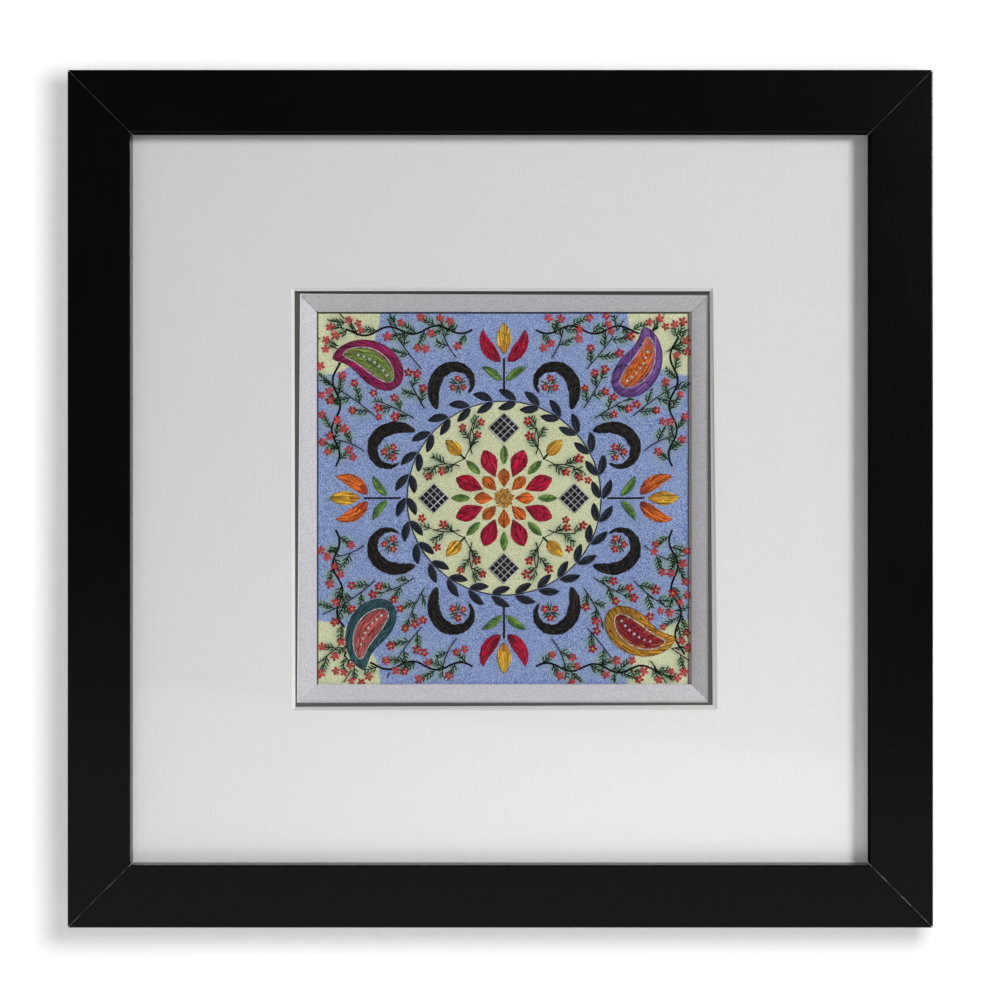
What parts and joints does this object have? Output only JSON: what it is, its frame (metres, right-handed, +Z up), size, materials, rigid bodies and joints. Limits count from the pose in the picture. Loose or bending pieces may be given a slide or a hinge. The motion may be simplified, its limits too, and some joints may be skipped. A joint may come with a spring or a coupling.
{
  "type": "framed hand embroidery",
  "caption": "Square wall picture: hand embroidery on blue cloth behind glass, in a mitred black frame with a wide cream mat, a thin charcoal mat and a sloping pale slip.",
  "frame": {"origin": "middle of the back board's flat back face, on the wall plane", "axes": "+Y into the wall behind the picture, so that the picture faces -Y; +X to the right as seen from the front; +Z up"},
  "size_m": [0.4, 0.028, 0.3964],
  "materials": {
    "black_lacquer": "near-black satin lacquer with a fine brushed grain",
    "clear_glass": "clear picture glass",
    "cream_card": "off-white card with fine upright linen ribs and a pale cut bevel",
    "charcoal_card": "matt charcoal card",
    "slip_linen": "pale grey-white cloth, finely woven, over a sloping slip",
    "embroidery": "periwinkle and pale green crepe with satin and stem stitching",
    "back_board": "plain brown board"
  },
  "bodies": {
    "root": {"frame_top": "black_lacquer", "frame_right": "black_lacquer", "frame_bottom": "black_lacquer", "frame_left": "black_lacquer", "glass": "clear_glass", "mat_cream": "cream_card", "mat_charcoal": "charcoal_card", "slip_top": "slip_linen", "slip_right": "slip_linen", "slip_bottom": "slip_linen", "slip_left": "slip_linen", "embroidered_cloth": "embroidery", "back_board": "back_board"}
  },
  "joints": []
}
